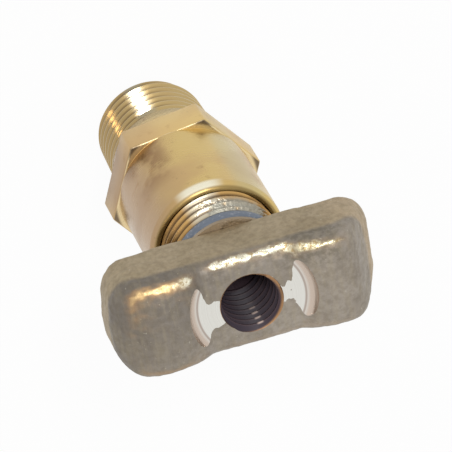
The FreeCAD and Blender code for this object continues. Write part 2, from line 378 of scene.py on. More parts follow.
class Finish:
    """A material that is being made, with its Principled shader and coordinates in millimetres."""

    def __init__(self, name, **constants):
        self.material = bpy.data.materials.new(name)
        self.material.use_nodes = True
        self.tree = self.material.node_tree
        self.shader = self.tree.nodes["Principled BSDF"]
        for socket, value in constants.items():
            self.shader.inputs[socket.replace("_", " ")].default_value = value
        metres = self.node("ShaderNodeTexCoord", output="Object")
        to_millimetres = (1 / MM, 1 / MM, 1 / MM)
        self.place = self.node("ShaderNodeMapping", inputs={"Vector": metres, "Scale": to_millimetres})
        place = {0: self.place}
        self.along = [self.node("ShaderNodeSeparateXYZ", inputs=place, output=axis) for axis in range(3)]
        self.radius = (self.along[0] ** 2 + self.along[1] ** 2) ** 0.5

    def node(self, kind, settings=None, inputs=None, output=0):
        """Add a node, set it up, feed its sockets with values or links, and give one of its outputs."""
        node = self.tree.nodes.new(kind)
        for name, value in (settings or {}).items():
            setattr(node, name, value)
        for name, value in (inputs or {}).items():
            if isinstance(value, Channel):
                self.tree.links.new(value.output, node.inputs[name])
            else:
                node.inputs[name].default_value = value
        return Channel(self, node.outputs[output])

    def feed(self, socket, channel):
        """Link a channel to one socket of the shader."""
        self.tree.links.new(channel.output, self.shader.inputs[socket])

    def noise(self, scale, detail=2, roughness=0.5, stretch=None):
        """Noise with about so many spots to a millimetre."""
        place = self.place
        if stretch:
            place = self.node("ShaderNodeMapping", inputs={"Vector": place, "Scale": stretch})
        inputs = {"Vector": place, "Scale": scale, "Detail": detail, "Roughness": roughness}
        return self.node("ShaderNodeTexNoise", inputs=inputs)

    def lines(self, channel, scale, detail=2):
        """Uneven lines across a channel, such as those that a turning tool leaves."""
        inputs = {"W": channel, "Scale": scale, "Detail": detail}
        return self.node("ShaderNodeTexNoise", {"noise_dimensions": "1D"}, inputs)

    def between(self, channel, none, full):
        """Mask that is 0 where the channel is at none, and rises smoothly to 1 where it is at full."""
        inputs = {"Value": channel, "From Min": none, "From Max": full}
        return self.node("ShaderNodeMapRange", {"interpolation_type": "SMOOTHSTEP"}, inputs)

    def spots(self, scale, none, full, detail=3, roughness=0.6):
        """Mask of the places where noise is high."""
        return self.between(self.noise(scale, detail, roughness), none, full)

    def facing(self, azimuth, full, none):
        """Mask of the side that faces an azimuth, in degrees. full and none are degrees away from it."""
        across, deep = math.cos(math.radians(azimuth)), math.sin(math.radians(azimuth))
        side = (self.along[0] * across + self.along[1] * deep) / self.radius
        return self.between(side, math.cos(math.radians(none)), math.cos(math.radians(full)))

    def mix(self, mask, first, second):
        """Go from the first colour to the second as the mask goes from 0 to 1."""
        return self.node("ShaderNodeMix", {"data_type": "RGBA"}, {0: mask, 6: first, 7: second}, output=2)

    def tint(self, tone, mask, towards, strength):
        """Bring a tone nearer to a colour where the mask is, at most by the strength."""
        return self.mix(mask * strength, tone, towards)

    def bump(self, height, distance, strength=1.0):
        """Raise the surface by a height channel, over a distance in millimetres."""
        inputs = {"Height": height, "Distance": distance * MM, "Strength": strength}
        self.feed("Normal", self.node("ShaderNodeBump", inputs=inputs))


def colour(red, green, blue):
    """Turn a colour as seen on a screen, 0 to 255, into the shader's linear one."""
    seen = Color((red / 255, green / 255, blue / 255))
    return (*seen.from_srgb_to_scene_linear(), 1)


# Colours of the turned body, outside and inside
POLISHED_BRASS = colour(210, 182, 116)
TARNISHED_BRASS = colour(200, 168, 114)
SHADED_BRASS = colour(172, 142, 104)
PINKISH_REFLECTION = colour(172, 144, 118)
PALE_REFLECTION = colour(194, 184, 140)
STAIN_BROWN = colour(136, 100, 64)
FOOT_SHADE = colour(112, 82, 56)
SPOT_BROWN = colour(156, 118, 72)
SPECK_BROWN = colour(110, 84, 52)
PAINTED_HIGHLIGHT_WHITE = colour(244, 240, 218)
LIP_DARK_REFLECTION = colour(140, 118, 74)
HEX_FACE_PAINTED_LIGHT = colour(236, 214, 168)
CORNER_SHADOW = colour(88, 72, 60)
HEXAGON_PAINTED_LIGHT = colour(246, 214, 158)
PIPE_COPPER = colour(182, 158, 110)
PIPE_COOL_HIGHLIGHT = colour(150, 156, 150)
ROOT_SHADE = colour(88, 66, 44)
INSIDE_BRASS = colour(146, 120, 76)
INSIDE_STAIN = colour(84, 66, 44)

# Colours of the stem
STEM_GOLD = colour(196, 156, 96)
STEM_BROWN = colour(148, 112, 70)
STEM_PAINTED_HIGHLIGHT = colour(214, 208, 186)
STEM_SHADE = colour(120, 92, 62)
STEM_ROOT_SHADE = colour(74, 56, 42)
PATCH_GREY = colour(162, 160, 148)
BOSS_GREY = colour(166, 150, 128)

# Colours of the casting, with its rubbed rim
CAST_LIGHT = colour(174, 158, 131)
CAST_DARK = colour(162, 146, 118)
CAST_PALE_END = colour(200, 178, 148)
CAST_MOTTLE = colour(112, 102, 84)
CAST_STREAK = colour(172, 160, 132)
CAST_SPARK = colour(206, 200, 182)
FRONT_LEFT_SHADE = colour(124, 117, 109)
FRONT_RIGHT_LIT = colour(166, 157, 146)
FRONT_CLOUD = colour(132, 123, 111)
UNDER_RIM_SHADE = colour(104, 98, 84)
RIM_PAINTED_GLOW = colour(190, 150, 102)
RIM_SILVER = colour(232, 228, 206)
RIM_GOLD_HIGHLIGHT = colour(232, 200, 146)
RIM_OLIVE = colour(190, 170, 118)
RIM_SPECKLE = colour(164, 136, 86)

# Colours of the cut face and the port
FACED_WHITE_REFLECTION = colour(226, 226, 220)
FACED_GREY = colour(208, 204, 196)
HOLLOW_PINK_REFLECTION = colour(196, 180, 166)
GROOVE_BROWN = colour(140, 112, 96)
PORT_PLUM = colour(66, 52, 60)
PORT_SLATE = colour(50, 44, 56)
PORT_DEEP_PAINTED_LIGHT = colour(124, 106, 120)
PORT_CREST_HIGHLIGHT = colour(130, 100, 92)
PORT_GLINT = colour(214, 190, 178)
PORT_MOUTH = colour(176, 136, 98)

# Colours of the sealing ring
RUBBER_DARK = colour(90, 99, 114)
RUBBER_LIGHT = colour(116, 125, 138)
RUBBER_SPECK = colour(172, 176, 182)

# Sides that marks are on: the azimuth, and how many degrees from it a mark is still full and is gone
PINKISH_REFLECTION_SIDE = (158, 2, 36)
LEFT_FLAT = (158, 10, 36)
PALE_REFLECTION_SIDE = (50, 2, 20)
STAINED_SIDE = (124, 4, 24)
SHADED_FOOT_SIDE = (130, 4, 26)
ROUNDING_HIGHLIGHT_SIDE = (97, 6, 24)
PIPE_HIGHLIGHT_SIDE = (102, 2, 14)
STEM_HIGHLIGHT_SIDE = (100, 8, 22)
STEM_SHADE_SIDE = (156, 10, 34)
PORT_GLINT_SIDE = (281, 1, 8)

# Marks on the body: where each is gone and where it is full, across the part
PAINTED_SHADE_LEFT = (0, -7)
PIPE_SHADE_LEFT = (0.5, -3)
PIPE_ROOT_SHADE_LEFT = (4, 0)

# Marks on the body by height, in the same way
PIPE_THREAD_END = (PIPE_THREAD_TOP, PIPE_THREAD_TOP - 0.5)
HEX_LOWER_END = (PIPE_LENGTH, PIPE_LENGTH + 0.2)
HEX_UPPER_END = (HEX_TOP, HEX_TOP - 0.2)
HEX_FRONT_BEGINS = (HEX_TOP - 0.12, HEX_TOP - 0.02)
HEX_FRONT_ENDS = (HEX_TOP + 0.1, HEX_TOP + 0.02)
SHADED_FOOT_BEGINS = (18.2, 18.5)
SHADED_FOOT_ENDS = (21.5, 19)
STAIN_BEGINS = (18.2, 18.8)
STAIN_ENDS = (30, 24)
ROUNDING_HIGHLIGHT_BEGINS = (32.2, 33.0)
ROUNDING_HIGHLIGHT_ENDS = (33.8, 33.5)
LIP_BEGINS = (COLLAR_TOP - 0.4, COLLAR_TOP - 0.15)

# Marks on the body by distance from the axis, and by depth below the thread's crest
HEX_CORNERS = (8.5, 8.95)
PIPE_ROOTS = (0.15, 0.6)

# Marks on the stem: by depth below the thread's crest, by place towards the patch, and by height
STEM_ROOTS = (0.08, 0.45)
PATCH_SIDE = (1.06, 1.18)
PATCH_BEGINS = (35.4, 36.4)
BOSS_BEGINS = (BOSS_FOOT - 0.2, BOSS_FOOT - 0.1)

# Marks on the casting, along the handle and then across it
PALE_RIGHT_END = (9, 14)
OLIVE_RIM = (3.5, 6.5)
UNDER_RIM_BEGINS = (2.5, 5)
UNDER_RIM_ENDS = (13, 10)
UNDER_RIM_BEHIND = (2.2, 3.8)

# The casting's front by height, which is lower at the handle's two ends, and its shading from left to right
FRONT_BEGINS = (46.4, 47.4)
FRONT_LOWER_FROM = (11, 16)
FRONT_LOWER_BY = 1.8
FRONT_SHADING = (-12, 7)

# How much of the wear and highlight mask gives a painted glow, and how much bares the metal with its painted
# highlight
PAINTED_GLOW_RANGE = (0.02, 0.8)
BARE_WEAR_AND_HIGHLIGHT = (0.62, 0.98)

# Marks on the cut face, by distance from the axis
FLAT_EDGE = SPOTFACE_RADIUS - SPOTFACE_CORNER
HOLLOW = (FLAT_EDGE, SPOTFACE_RADIUS - SPOTFACE_CORNER / 2)
GROOVE_BEGINS = (6.25, 6.4)
GROOVE_ENDS = (6.65, 6.5)

# Marks in the port: by distance from the axis, then by height
PORT_CRESTS = (PORT_RADIUS + 0.2, PORT_RADIUS)
PORT_DEPTHS = (40, 34)
PORT_GLINT_BEGINS = (42, 46)
PORT_MOUTH_BEGINS = (WAIST_FRONT - 0.6, WAIST_FRONT - 0.35)


def turned_brass():
    """Bright turned brass, handled and slightly tarnished, with a duller, copper-coloured pipe thread, and
    painted shade, highlights and reflections.
    """
    brass = Finish("turned_brass", Metallic=1.0)
    across, _, height = brass.along

    # metal, with painted shade on its left side, a painted pinkish reflection on the left and a painted pale
    # reflection down the right side
    tarnish = brass.spots(scale=0.12, none=0.42, full=0.66, detail=2, roughness=0.5)
    painted_shade_left = brass.between(across, *PAINTED_SHADE_LEFT)
    left_painted_light = brass.facing(*PINKISH_REFLECTION_SIDE)
    pale_reflection_right = brass.facing(*PALE_REFLECTION_SIDE)
    tone = brass.mix(tarnish, POLISHED_BRASS, TARNISHED_BRASS)
    tone = brass.tint(tone, painted_shade_left, SHADED_BRASS, strength=0.75)
    tone = brass.tint(tone, left_painted_light, PINKISH_REFLECTION, strength=0.6)
    tone = brass.tint(tone, pale_reflection_right, PALE_REFLECTION, strength=0.5)

    # stains on the collar, and painted shade on its foot next to the hexagon
    blotches = brass.spots(scale=0.3, none=0.36, full=0.6, detail=4)
    on_collar = brass.between(height, *STAIN_BEGINS) * brass.between(height, *STAIN_ENDS)
    stain = brass.facing(*STAINED_SIDE) * on_collar * blotches
    at_shaded_foot = brass.between(height, *SHADED_FOOT_BEGINS) * brass.between(height, *SHADED_FOOT_ENDS)
    foot = brass.facing(*SHADED_FOOT_SIDE) * at_shaded_foot
    spots = brass.spots(scale=0.5, none=0.6, full=0.72)
    tone = brass.tint(tone, stain, STAIN_BROWN, strength=0.75)
    tone = brass.tint(tone, foot, FOOT_SHADE, strength=0.5)
    tone = brass.tint(tone, spots, SPOT_BROWN, strength=0.35)

    # painted highlight on one side of the collar's rounding, and a painted dark reflection on its lip
    on_rounding = brass.between(height, *ROUNDING_HIGHLIGHT_BEGINS) * brass.between(height, *ROUNDING_HIGHLIGHT_ENDS)
    highlight_and_wear = brass.facing(*ROUNDING_HIGHLIGHT_SIDE) * on_rounding
    lip = brass.between(height, *LIP_BEGINS)
    tone = brass.tint(tone, highlight_and_wear, PAINTED_HIGHLIGHT_WHITE, strength=0.9)
    tone = brass.tint(tone, lip, LIP_DARK_REFLECTION, strength=0.9)

    # front face of the hexagon: painted lighter, in cream, against its shade, with painted shadow in its
    # corners
    face = brass.between(height, *HEX_FRONT_BEGINS) * brass.between(height, *HEX_FRONT_ENDS)
    corners = brass.between(brass.radius, *HEX_CORNERS)
    specks = brass.spots(scale=1.6, none=0.64, full=0.74)
    tone = brass.tint(tone, face, HEX_FACE_PAINTED_LIGHT, strength=0.8)
    tone = brass.tint(tone, face * corners, CORNER_SHADOW, strength=0.85)
    tone = brass.tint(tone, specks, SPECK_BROWN, strength=0.25)

    # pipe thread, with painted shade in its roots and on its left, and a painted cool highlight on its lit
    # side
    in_thread = brass.between(height, *PIPE_THREAD_END)
    below_crest = PIPE_END_RADIUS + height * PIPE_TAPER - brass.radius
    root_shade = brass.between(below_crest, *PIPE_ROOTS) * brass.between(across, *PIPE_ROOT_SHADE_LEFT)
    dark = 0.2 * brass.between(across, *PIPE_SHADE_LEFT) + 0.8 * root_shade
    cool_highlight = brass.facing(*PIPE_HIGHLIGHT_SIDE) * in_thread
    tone = brass.tint(tone, in_thread, PIPE_COPPER, strength=0.85)
    tone = brass.mix(dark * in_thread, tone, ROOT_SHADE)
    tone = brass.tint(tone, cool_highlight, PIPE_COOL_HIGHLIGHT, strength=0.4)

    # painted light on the sides of the hexagon, all but the left one
    on_hexagon = brass.between(height, *HEX_LOWER_END) * brass.between(height, *HEX_UPPER_END)
    hex_painted_light = on_hexagon * (1 - brass.facing(*LEFT_FLAT))
    tone = brass.tint(tone, hex_painted_light, HEXAGON_PAINTED_LIGHT, strength=0.3)

    brass.feed("Base Color", tone)
    turning = brass.lines(height + brass.radius, scale=5.0, detail=3)
    dull = 0.08 * tarnish + 0.1 * turning + 0.1 * on_hexagon - 0.12 * in_thread
    brass.feed("Roughness", 0.2 + dull)
    brass.bump(turning + 2 * brass.noise(scale=0.5), distance=0.015)
    return brass.material


def inside_brass():
    """Brass inside the body, dulled by water."""
    brass = Finish("inside_brass", Metallic=1.0)
    stains = brass.spots(scale=0.4, none=0.35, full=0.7, roughness=0.5)
    brass.feed("Base Color", brass.mix(stains, INSIDE_BRASS, INSIDE_STAIN))
    brass.feed("Roughness", 0.35 + 0.2 * stains)
    brass.bump(brass.lines(brass.along[2], scale=4.0), distance=0.02)
    return brass.material


def stem_brass():
    """Turned brass of the stem and its thread: painted shade in the roots and on the left, a painted
    highlight on its upper side, a rubbed grey patch, an as-cast boss.
    """
    brass = Finish("stem_brass", Metallic=1.0)
    height = brass.along[2]
    stains = brass.spots(scale=0.3, none=0.45, full=0.7, roughness=0.5)
    highlight_side = brass.facing(*STEM_HIGHLIGHT_SIDE)
    left_painted_light = brass.facing(*STEM_SHADE_SIDE)
    root_shade = brass.between(STEM_RADIUS - brass.radius, *STEM_ROOTS)
    patch = rubbed_patch(brass)
    boss = brass.between(height, *BOSS_BEGINS)
    # painted highlight on the upper side, painted shade on the left side and in the thread's roots
    tone = brass.tint(STEM_GOLD, stains, STEM_BROWN, strength=0.6)
    tone = brass.tint(tone, highlight_side, STEM_PAINTED_HIGHLIGHT, strength=0.8)
    tone = brass.tint(tone, left_painted_light, STEM_SHADE, strength=0.4)
    tone = brass.tint(tone, root_shade, STEM_ROOT_SHADE, strength=0.9)
    tone = brass.tint(tone, patch, PATCH_GREY, strength=0.9)
    brass.feed("Base Color", brass.mix(boss, tone, BOSS_GREY))
    brass.feed("Roughness", 0.22 + 0.12 * stains + 0.18 * patch + 0.28 * boss)
    scuffs = 8 * patch * brass.noise(scale=2.2, detail=3)
    brass.bump(brass.lines(height, scale=6.0) + scuffs, distance=0.02)
    return brass.material


def rubbed_patch(brass):
    """Mask of the grey patch on one side of the thread, next to the ring."""
    across, deep = PATCH_DIRECTION
    side = (brass.along[0] * across + brass.along[1] * deep) / STEM_RADIUS
    height = brass.along[2]
    ragged = 0.5 * brass.noise(scale=0.8, detail=3)
    return brass.between(side + ragged, *PATCH_SIDE) * brass.between(height + 2 * ragged, *PATCH_BEGINS)


def cast_brass():
    """Dull as-cast brass with a fine grain, linishing streaks, painted shade on the front, and a sparkling
    front rim that is partly rubbed bare and partly a painted highlight.
    """
    brass = Finish("cast_brass", Metallic=0.85)
    across, deep, height = brass.along
    wear_and_highlight_mask = brass.node("ShaderNodeAttribute", {"attribute_name": "wear_and_highlight"}, output="Fac")
    clouds = brass.spots(scale=0.22, none=0.35, full=0.7, detail=4)
    mottle = brass.spots(scale=1.3, none=0.35, full=0.68, detail=4, roughness=0.65)
    linishing = brass.noise(scale=1.0, detail=3, roughness=0.6, stretch=(1.6, 0.25, 0.5))
    streaks = brass.between(linishing, none=0.4, full=0.7)

    # sides, paler at the right end
    right_end = brass.between(across, *PALE_RIGHT_END)
    tone = brass.mix(clouds, CAST_LIGHT, CAST_DARK)
    tone = brass.tint(tone, right_end, CAST_PALE_END, strength=0.5)

    # front, which begins lower at both ends, with painted shade that is darkest at its left
    from_middle = (across ** 2) ** 0.5
    lower_at_ends = FRONT_LOWER_BY * brass.between(from_middle, *FRONT_LOWER_FROM)
    facing_front = brass.between(height + lower_at_ends, *FRONT_BEGINS)
    painted_light_rightwards = brass.between(0.6 * across - 1.1 * deep, *FRONT_SHADING)
    front = brass.mix(painted_light_rightwards, FRONT_LEFT_SHADE, FRONT_RIGHT_LIT)
    front = brass.tint(front, clouds, FRONT_CLOUD, strength=0.5)
    tone = brass.mix(facing_front, tone, front)

    # mottle and streaks of the skin, painted shade broken by the mottle just inside the rim of the right
    # lobe, and sparks of bare metal
    on_right_lobe = brass.between(across, *UNDER_RIM_BEGINS) * brass.between(across, *UNDER_RIM_ENDS)
    under_rim_shade = on_right_lobe * brass.between(deep, *UNDER_RIM_BEHIND) * facing_front * (0.3 + 0.7 * mottle)
    sparks = brass.spots(scale=2.4, none=0.68, full=0.76, detail=2)
    tone = brass.tint(tone, mottle, CAST_MOTTLE, strength=0.3)
    tone = brass.tint(tone, streaks, CAST_STREAK, strength=0.22)
    tone = brass.tint(tone, under_rim_shade, UNDER_RIM_SHADE, strength=0.5)
    tone = brass.tint(tone, sparks, CAST_SPARK, strength=0.4)

    # rim: a painted glow round it, then bare metal that is partly real wear and partly a painted highlight,
    # golden at the left end, with darker speckles
    golden = brass.between(across, none=SILVER_RIM, full=GOLDEN_RIM)
    painted_glow = brass.between(wear_and_highlight_mask, *PAINTED_GLOW_RANGE) * (0.25 + 0.4 * golden)
    frayed = brass.noise(scale=1.0, detail=6, roughness=0.8) * (0.6 - 0.3 * golden)
    rim = brass.between(wear_and_highlight_mask * (0.8 + 0.1 * golden) + frayed, *BARE_WEAR_AND_HIGHLIGHT)
    olive_end = brass.between(across, *OLIVE_RIM)
    speckle = brass.spots(scale=2.2, none=0.5, full=0.62) * (0.8 - 0.5 * golden)
    highlight_and_wear = brass.mix(golden, RIM_SILVER, RIM_GOLD_HIGHLIGHT)
    highlight_and_wear = brass.tint(highlight_and_wear, olive_end, RIM_OLIVE, strength=0.5)
    highlight_and_wear = brass.mix(speckle, highlight_and_wear, RIM_SPECKLE)
    tone = brass.mix(painted_glow, tone, RIM_PAINTED_GLOW)
    tone = brass.mix(rim, tone, highlight_and_wear)

    brass.feed("Base Color", tone)
    brass.feed("Roughness", 0.5 + 0.1 * mottle - rim * (0.27 - 0.1 * golden))
    grain = brass.noise(scale=1.8, detail=4, roughness=0.6) + 0.8 * brass.noise(scale=0.7)
    brass.bump(grain * (1 + rim * (0.9 - 0.8 * golden)), distance=0.08, strength=0.8)
    return brass.material


def faced_brass():
    """Freshly cut face around the port, with fine rings from the cutter; its near-white tone is a painted
    reflection, and its warmer hollow edge a painted pinkish reflection.
    """
    brass = Finish("faced_brass", Metallic=1.0)
    rings = brass.lines(brass.radius, scale=8.0, detail=3)
    hollow = brass.between(brass.radius, *HOLLOW)
    groove = brass.between(brass.radius, *GROOVE_BEGINS) * brass.between(brass.radius, *GROOVE_ENDS)
    # near-white tone painted as a reflection, with a painted pinkish reflection in the hollow
    tone = brass.mix(rings, FACED_WHITE_REFLECTION, FACED_GREY)
    tone = brass.mix(hollow, tone, HOLLOW_PINK_REFLECTION)
    tone = brass.tint(tone, groove, GROOVE_BROWN, strength=0.6)
    brass.feed("Base Color", tone)
    brass.feed("Roughness", 0.24 + 0.12 * rings)
    brass.bump(rings, distance=0.008)
    return brass.material


def port_brass():
    """Dark brass in the port and its passage, partly oxide and partly painted shade, with painted light
    deeper down, painted highlights and glints on its crests, and a thin copper-coloured mouth.
    """
    brass = Finish("port_brass", Specular_IOR_Level=0.25)
    height = brass.along[2]
    stains = brass.noise(scale=0.8, detail=3)
    deep = brass.between(height, *PORT_DEPTHS)
    crest = brass.between(brass.radius, *PORT_CRESTS)
    glint = crest * brass.facing(*PORT_GLINT_SIDE) * brass.between(height, *PORT_GLINT_BEGINS)
    mouth = brass.between(height, *PORT_MOUTH_BEGINS)
    # dark tone, partly oxide and partly painted shade, with painted light deeper down and painted highlights
    # and glints on the crests
    tone = brass.mix(stains, PORT_PLUM, PORT_SLATE)
    tone = brass.tint(tone, deep, PORT_DEEP_PAINTED_LIGHT, strength=0.7)
    tone = brass.tint(tone, crest, PORT_CREST_HIGHLIGHT, strength=0.15)
    tone = brass.mix(glint, tone, PORT_GLINT)
    brass.feed("Base Color", brass.mix(mouth, tone, PORT_MOUTH))
    brass.feed("Metallic", mouth)
    brass.feed("Roughness", 0.4 + 0.1 * stains)
    brass.bump(stains, distance=0.03)
    return brass.material


def ring_rubber():
    """Blue-grey rubber with a slight sheen and pale specks."""
    rubber = Finish("ring_rubber", Metallic=0.0)
    shade = rubber.noise(scale=0.6)
    specks = rubber.spots(scale=2.0, none=0.54, full=0.68, detail=4, roughness=0.7)
    tone = rubber.mix(shade, RUBBER_DARK, RUBBER_LIGHT)
    rubber.feed("Base Color", rubber.tint(tone, specks, RUBBER_SPECK, strength=0.6))
    rubber.feed("Roughness", 0.38 + 0.2 * shade)
    rubber.bump(rubber.noise(scale=2.4, detail=3), distance=0.06)
    return rubber.material


def make_hex_body():
    """Turned outside with its pipe thread, the hexagon, and the bore, seat and chamber inside."""
    cone_top = PIPE_END_RADIUS + PIPE_TAPER * PIPE_THREAD_TOP
    pipe_end = PIPE_END_RADIUS - PIPE_CHAMFER
    foot_top = (pipe_end + PIPE_END_STEP, PIPE_END_STEP)
    foot = turn("pipe_foot", [(pipe_end, 0), foot_top], closed_start=True)
    start = (PIPE_END_STEP, pipe_end + PIPE_END_STEP, PIPE_CHAMFER)
    end = (PIPE_THREAD_TOP, cone_top, THREAD_PITCH)
    crests = (PIPE_END_RADIUS, cone_top)
    winding = thread("pipe_winding", THREAD_PITCH, crests, PIPE_THREAD_DEPTH, start, end)
    pipe_top = PIPE_END_RADIUS + PIPE_TAPER * PIPE_LENGTH
    collar_foot = [(cone_top, PIPE_THREAD_TOP), (pipe_top, PIPE_LENGTH), (COLLAR_RADIUS, PIPE_LENGTH)]
    lip_radius = COLLAR_RADIUS - COLLAR_ROUNDING
    lip_height = COLLAR_TOP - COLLAR_ROUNDING
    lip = arc(lip_radius, lip_height, COLLAR_ROUNDING, first=0, last=90, steps=COLLAR_STEPS)
    upper = turn("collar", collar_foot + lip, closed_end=True)
    body = join([foot, winding, upper])
    body.name = "hexagon_body"
    brass = turned_brass()
    body.data.materials.append(brass)

    bpy.ops.object.select_all(action="DESELECT")
    bpy.ops.mesh.primitive_cylinder_add(vertices=HEX_SIDES, radius=HEX_FLATS / math.sqrt(3),
                                        depth=HEX_THICKNESS, location=(0, 0, PIPE_LENGTH + HEX_THICKNESS / 2),
                                        rotation=(0, 0, math.radians(HEX_TURN) + math.radians(90)))
    apply_place()
    hexagon = start_piece("hexagon")
    bpy.ops.mesh.bevel(offset=HEX_EDGE, segments=HEX_EDGE_STEPS, affect="EDGES")
    bpy.ops.object.mode_set(mode="OBJECT")
    hexagon.data.materials.append(brass)
    combine(body, hexagon, "UNION")

    inlet = [(INLET_RADIUS + INLET_CHAMFER + BEYOND, -BEYOND), (INLET_RADIUS, INLET_CHAMFER),
             (INLET_RADIUS, INLET_DEPTH)]
    seat_top = INLET_DEPTH + CHAMBER_RADIUS - INLET_RADIUS
    chamber = [(CHAMBER_RADIUS, seat_top), (CHAMBER_RADIUS, CHAMBER_TOP)]
    threaded = [(BORE_RADIUS, CHAMBER_TOP), (BORE_RADIUS, COLLAR_TOP + BEYOND)]
    bore = turn("bore", inlet + chamber + threaded, closed_start=True, closed_end=True)
    clean_up(bore)
    bore.data.materials.append(inside_brass())
    combine(body, bore, "DIFFERENCE")
    finish_piece(body, "body", "hex_body")


def front_height(across, deep):
    """Height of the handle's front, with its two lobes, the waist between them and the crown."""
    lobe = abs(across) - LOBE_TOP_ACROSS
    reach = min(lobe, LOBE_ARC_RUN)
    height = LOBE_FRONT - LOBE_RADIUS
    if reach > -LOBE_RADIUS:
        height += math.sqrt(LOBE_RADIUS**2 - reach**2)
    if lobe > LOBE_ARC_RUN:
        slope = LOBE_ARC_RUN / math.sqrt(LOBE_RADIUS**2 - LOBE_ARC_RUN**2)
        height -= (lobe - LOBE_ARC_RUN) * slope
    elif lobe < 0:
        # smooth meeting of the waist and the lobe
        gap = max(CREASE_BLEND - abs(height - WAIST_FRONT), 0) / CREASE_BLEND
        height = max(height, WAIST_FRONT) + gap**2 * CREASE_BLEND / 4
    beside_waist = min(max(abs(across) - LOBE_TWIST_START, 0) / LOBE_TWIST_RUN, 1)
    twist = across * deep * LOBE_TWIST * beside_waist
    return height + twist - deep**2 / (2 * CROWN_RADIUS)


def bevel_where(piece, chosen, offset, segments):
    """Round the edges of a piece that the given test picks by their two ends."""
    bpy.ops.mesh.select_mode(type="EDGE")
    bpy.ops.mesh.select_all(action="DESELECT")
    bpy.ops.object.mode_set(mode="OBJECT")
    vertices = piece.data.vertices
    for edge in piece.data.edges:
        edge.select = chosen(vertices[edge.vertices[0]].co, vertices[edge.vertices[1]].co)
    bpy.ops.object.mode_set(mode="EDIT")
    bpy.ops.mesh.bevel(offset=offset, segments=segments, affect="EDGES")


def upright(first, second):
    """Whether an edge runs from the back to the front."""
    return abs(first.z - second.z) > TOUCH


def in_front(first, second):
    """Whether an edge lies in the front face."""
    return min(first.z, second.z) > LOBE_FRONT - TOUCH


def in_back(first, second):
    """Whether an edge lies in the back face."""
    return max(first.z, second.z) < HANDLE_BACK + TOUCH


def cast_handle():
    """Cast bar: rounded corners and rims, shaped front, and the uneven skin of a casting."""
    depth = LOBE_FRONT - HANDLE_BACK
    bpy.ops.object.select_all(action="DESELECT")
    bpy.ops.mesh.primitive_cube_add(size=1, location=(0, 0, HANDLE_BACK + depth / 2),
                                    scale=(HANDLE_LENGTH, HANDLE_WIDTH, depth))
    apply_place()
    handle = start_piece("handle")
    bevel_where(handle, upright, HANDLE_CORNER, HANDLE_CORNER_STEPS)
    bevel_where(handle, in_front, FRONT_ROUNDING, FRONT_ROUNDING_STEPS)
    bevel_where(handle, in_back, BACK_ROUNDING, BACK_ROUNDING_STEPS)
    bpy.ops.object.mode_set(mode="OBJECT")
    handle.data.remesh_voxel_size = CAST_GRID
    bpy.ops.object.voxel_remesh()
    for vertex in handle.data.vertices:
        spot = vertex.co
        level = (spot.z - HANDLE_BACK) / depth
        spot.z = HANDLE_BACK + level * (front_height(spot.x, spot.y) - HANDLE_BACK)
        near_end = max(abs(spot.x) - END_START, 0) / (HANDLE_LENGTH / 2 - END_START)
        if spot.x > 0:
            spot.x -= RIGHT_END_TAPER * level**2 * near_end**2
        else:
            spot.x += LEFT_END_SLANT * max(spot.y, 0) / (HANDLE_WIDTH / 2) * near_end**2
    apply_modifier(handle, "SMOOTH", factor=CAST_SMOOTHING, iterations=CAST_SMOOTHINGS)
    roughen(handle)
    handle.data.materials.append(cast_brass())
    return handle


def roughen(handle):
    """Give the handle the uneven skin of a casting, without leaving its box."""
    low = Vector((-HANDLE_LENGTH / 2, -HANDLE_WIDTH / 2, HANDLE_BACK))
    high = Vector((HANDLE_LENGTH / 2, HANDLE_WIDTH / 2, LOBE_FRONT))
    for vertex in handle.data.vertices:
        spot = vertex.co
        share = min(max(abs(spot.x) / SPOTFACE_RADIUS, SLOW_SHARE_IN_WAIST), 1)
        slow = noise.noise(spot * SLOW_BUMPS) * SLOW_HEIGHT * share
        grain = noise.noise(spot * GRAIN_BUMPS) * GRAIN_HEIGHT
        grain += noise.noise(spot * FINE_BUMPS) * FINE_HEIGHT
        rim = 1 + RIM_GRAIN * wear_and_highlight(spot, vertex.normal)
        spot += vertex.normal * (slow + grain * rim - SKIN_DROP)
        for axis in range(3):
            spot[axis] = min(max(spot[axis], low[axis]), high[axis])


def wear_and_highlight(spot, normal):
    """How much a place on the handle belongs to the rim of its front, rubbed bare and lit by a painted
    highlight, from 0 to 1.
    """
    in_spotface = math.hypot(spot.x, spot.y) < SPOTFACE_RADIUS and abs(spot.y) < RIM_INSIDE
    if spot.z < RIM_FOOT or in_spotface:
        return 0
    end = RIM_END_RIGHT if spot.x > 0 else RIM_END_LEFT
    before_end = min(max((end - abs(spot.x)) / RIM_END_RUN, 0), 1)
    beside_gap = min(abs(spot.x - RIM_GAP) / RIM_GAP_RUN, 1)
    width = RIM_SPREAD * (RIM_NARROWEST + (1 - RIM_NARROWEST) * min(before_end, beside_gap))
    tilt = math.degrees(math.acos(min(max(normal.z, -1), 1)))
    ridge = max(1 - abs(tilt - RIM_TILT) / width, 0)
    long_side = min(abs(normal.y) / RIM_LONG_SIDE, 1)
    side = 1 if normal.y > 0 else RIM_LOWER_SIDE
    return ridge * long_side * before_end * beside_gap * side


def mark_wear_and_highlight(plug):
    """Store the rim's wear and painted highlight on the finished mesh, for its material."""
    marks = plug.data.attributes.new("wear_and_highlight", "FLOAT", "POINT")
    for number, vertex in enumerate(plug.data.vertices):
        marks.data[number].value = wear_and_highlight(vertex.co, vertex.normal)


